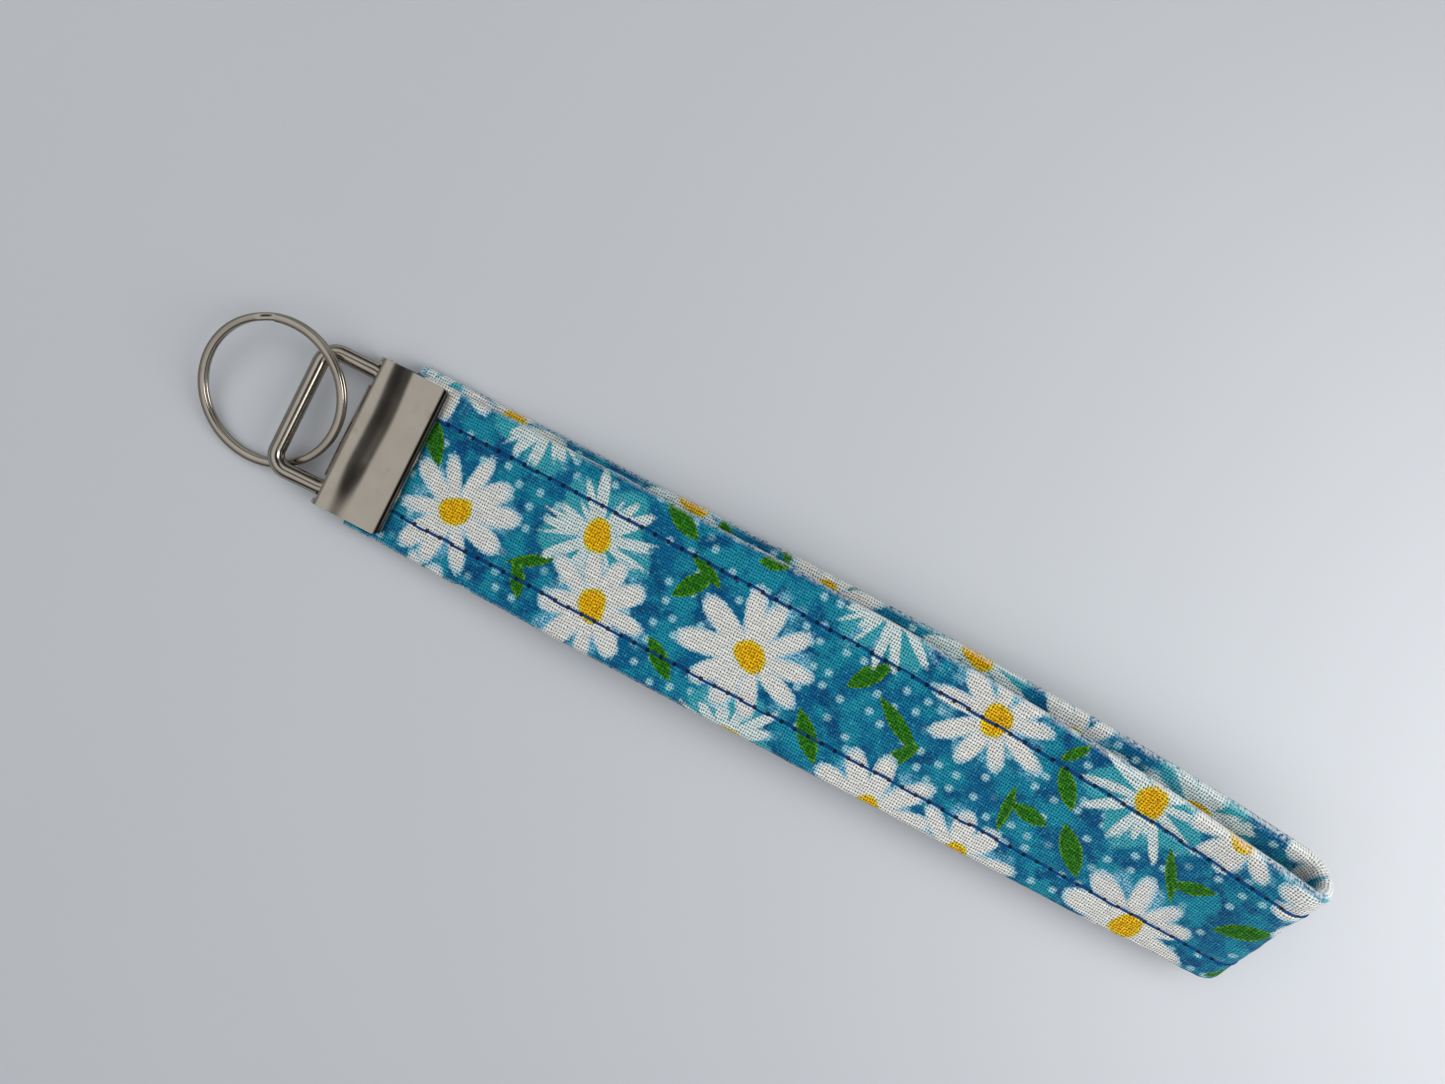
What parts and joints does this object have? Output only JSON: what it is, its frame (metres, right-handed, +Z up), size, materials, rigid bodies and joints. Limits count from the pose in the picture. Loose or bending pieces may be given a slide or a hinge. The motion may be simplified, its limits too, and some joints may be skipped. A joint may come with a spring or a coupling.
{
  "type": "wristlet keychain",
  "caption": "Fabric wrist loop crimped in a one-inch end clamp, with a wire bail and a split ring for keys.",
  "frame": {"origin": "middle of the clamp's flat underside, on the table", "axes": "+X along the strap from the hardware towards the loop's bight, +Y across the strap, +Z up"},
  "size_m": [0.1848, 0.0297, 0.0247],
  "materials": {
    "nickel_plate": "bright nickel plate",
    "printed_cotton": "printed quilting cotton, plain weave",
    "interfacing": "non-woven interfacing",
    "navy_thread": "polyester sewing thread"
  },
  "bodies": {
    "clamp": {"crimp_clamp": "nickel_plate", "upper_grip_cover": "printed_cotton", "upper_grip_interfacing": "interfacing", "lower_grip_cover": "printed_cotton", "lower_grip_interfacing": "interfacing"},
    "bail": {"bail_wire": "nickel_plate"},
    "ring": {"split_ring": "nickel_plate"},
    "neck": {"upper_neck_cover": "printed_cotton", "upper_neck_interfacing": "interfacing", "upper_neck_topstitching": "navy_thread", "lower_neck_cover": "printed_cotton", "lower_neck_interfacing": "interfacing", "lower_neck_topstitching": "navy_thread"},
    "upper_root": {"upper_leg_1_cover": "printed_cotton", "upper_leg_1_interfacing": "interfacing", "upper_leg_1_topstitching": "navy_thread"},
    "upper_middle": {"upper_leg_2_cover": "printed_cotton", "upper_leg_2_interfacing": "interfacing", "upper_leg_2_topstitching": "navy_thread"},
    "upper_tip": {"upper_bight_cover": "printed_cotton", "upper_bight_interfacing": "interfacing", "upper_bight_topstitching": "navy_thread"},
    "lower_root": {"lower_leg_1_cover": "printed_cotton", "lower_leg_1_interfacing": "interfacing", "lower_leg_1_topstitching": "navy_thread"},
    "lower_middle": {"lower_leg_2_cover": "printed_cotton", "lower_leg_2_interfacing": "interfacing", "lower_leg_2_topstitching": "navy_thread"},
    "lower_tip": {"lower_bight_cover": "printed_cotton", "lower_bight_interfacing": "interfacing", "lower_bight_topstitching": "navy_thread"}
  },
  "joints": [
    {"name": "bail_pivot", "type": "hinge", "parent": "clamp", "child": "bail", "pos_m": [-0.00405, 0, 0.0025], "axis": [0, 1, 0], "range_deg": [-25, 5]},
    {"name": "ring_flip", "type": "hinge", "parent": "bail", "child": "ring", "pos_m": [-0.0192, 0, 0.00404], "axis": [1, 0, 0], "range_deg": [0, 150]},
    {"name": "strap_flex", "type": "hinge", "parent": "clamp", "child": "neck", "pos_m": [0.0077, 0, 0.0025], "axis": [0, -1, 0], "range_deg": [-60, 60], "stiffness_Nm_per_rad": 0.0015},
    {"name": "loop_open", "type": "hinge", "parent": "neck", "child": "upper_root", "pos_m": [0.0145, 0, 0.0025], "axis": [0, -1, 0], "range_deg": [0, 30], "stiffness_Nm_per_rad": 0.0015},
    {"name": "upper_fold", "type": "hinge", "parent": "upper_root", "child": "upper_middle", "pos_m": [0.0787, 0, 0.0085], "axis": [0, -1, 0], "range_deg": [-60, 0]},
    {"name": "upper_bight_flex", "type": "hinge", "parent": "upper_middle", "child": "upper_tip", "pos_m": [0.1429, 0, 0.0124], "axis": [0, -1, 0], "range_deg": [0, 30]},
    {"name": "lower_open", "type": "hinge", "parent": "neck", "child": "lower_root", "pos_m": [0.0145, 0, 0.0025], "axis": [0, -1, 0], "range_deg": [-30, 0]},
    {"name": "lower_fold", "type": "hinge", "parent": "lower_root", "child": "lower_middle", "pos_m": [0.0787, 0, 0.0064], "axis": [0, -1, 0], "range_deg": [0, 60]},
    {"name": "lower_bight_flex", "type": "hinge", "parent": "lower_middle", "child": "lower_tip", "pos_m": [0.1429, 0, 0.0124], "axis": [0, -1, 0], "range_deg": [-30, 0]}
  ],
  "couplings": [
    {"joint": "upper_fold", "follows": "loop_open", "ratio": -2},
    {"joint": "upper_bight_flex", "follows": "loop_open", "ratio": 1},
    {"joint": "lower_open", "follows": "loop_open", "ratio": -1},
    {"joint": "lower_fold", "follows": "loop_open", "ratio": 2},
    {"joint": "lower_bight_flex", "follows": "loop_open", "ratio": -1}
  ]
}
